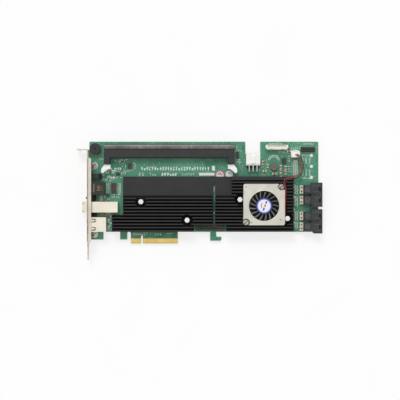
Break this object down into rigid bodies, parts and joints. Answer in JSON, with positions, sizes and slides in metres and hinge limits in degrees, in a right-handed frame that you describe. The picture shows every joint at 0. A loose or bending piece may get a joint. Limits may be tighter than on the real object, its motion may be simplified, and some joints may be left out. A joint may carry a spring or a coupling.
{
  "type": "raid controller card",
  "caption": "Server expansion card that runs a group of drives: board, slot bracket with ports, memory socket, finned heatsink with fan, power inlet and drive connectors.",
  "frame": {"origin": "middle of the edge connector's key notch, level with the contacts' tips, on the board's middle plane", "axes": "+X along the board away from the bracket, +Y to the board's top edge, +Z out of the component side"},
  "size_m": [0.266, 0.1285, 0.0185],
  "materials": {
    "board_green": "green solder mask over glass-epoxy laminate",
    "contact_gold": "hard gold plating",
    "bracket_steel": "satin nickel-plated sheet",
    "shield_steel": "tinned sheet",
    "black_moulding": "moulded, satin",
    "white_moulding": "moulded, satin",
    "cream_moulding": "moulded, satin",
    "black_aluminium": "black anodised extrusion",
    "fan_cover": "pale die-cast and blasted",
    "fan_black": "moulded, satin",
    "screw_steel": "bright nickel",
    "chip_black": "moulded epoxy",
    "ceramic_tan": "fired ceramic",
    "resistor_dark": "glazed",
    "choke_grey": "pressed ferrite",
    "thermal_pad": "soft matt",
    "winding_copper": "enamelled wire",
    "bearing_bronze": "sintered",
    "shaft_steel": "ground",
    "magnet_grey": "bonded ferrite",
    "label_white": "printed film",
    "wire_red": "soft insulation",
    "wire_black": "soft insulation",
    "lens_clear": "tinted clear moulding",
    "solder": "bright solder"
  },
  "bodies": {
    "card": {"circuit_board": "board_green", "edge_contacts": "contact_gold", "mounting_bracket": "bracket_steel", "bracket_screws": "screw_steel", "network_jack_shield": "shield_steel", "network_jack_body": "black_moulding", "network_jack_contacts": "contact_gold", "serial_jack_body": "black_moulding", "serial_jack_contacts": "contact_gold", "external_sas_cage": "shield_steel", "external_sas_receptacle": "black_moulding", "lower_led_block": "black_moulding", "upper_led_block": "black_moulding", "led_lenses": "lens_clear", "buzzer": "black_moulding", "memory_socket": "black_moulding", "main_processor": "chip_black", "expander_chip": "chip_black", "thermal_pads": "thermal_pad", "heatsink": "black_aluminium", "push_pins": "white_moulding", "fan_frame": "fan_cover", "fan_stator": "winding_copper", "fan_bearing": "bearing_bronze", "fan_screws": "screw_steel", "power_header": "white_moulding", "power_header_pins": "screw_steel", "corner_header": "black_moulding", "corner_header_pins": "contact_gold", "bottom_header": "black_moulding", "bottom_header_pins": "contact_gold", "wafer_connector": "cream_moulding", "wafer_pins": "screw_steel", "fan_header": "white_moulding", "fan_plug": "white_moulding", "fan_wire_red": "wire_red", "fan_wire_black": "wire_black", "upper_sas_housing": "black_moulding", "lower_sas_housing": "black_moulding", "sas_wafer_bodies": "black_moulding", "sas_organisers": "cream_moulding", "inductor": "choke_grey", "power_regulator": "chip_black", "serial_driver": "chip_black", "support_chips": "chip_black", "power_capacitors": "ceramic_tan", "chip_capacitors": "ceramic_tan", "chip_resistors": "resistor_dark", "solder_joints": "solder"},
    "fan_rotor": {"fan_rotor": "fan_black", "fan_shaft": "shaft_steel", "fan_magnet": "magnet_grey", "fan_hub_label": "label_white"},
    "left_latch": {"left_memory_latch": "white_moulding"},
    "right_latch": {"right_memory_latch": "white_moulding"}
  },
  "joints": [
    {"name": "fan_spin", "type": "hinge", "parent": "card", "child": "fan_rotor", "pos_m": [0.1326, 0.0411, 0.01], "axis": [0, 0, 1], "continuous": true},
    {"name": "left_latch_pivot", "type": "hinge", "parent": "card", "child": "left_latch", "pos_m": [-0.0382, 0.0882, 0.00788], "axis": [0, 0, 1], "range_deg": [0, 28]},
    {"name": "right_latch_pivot", "type": "hinge", "parent": "card", "child": "right_latch", "pos_m": [0.0982, 0.0882, 0.00788], "axis": [0, 0, -1], "range_deg": [0, 28]}
  ]
}
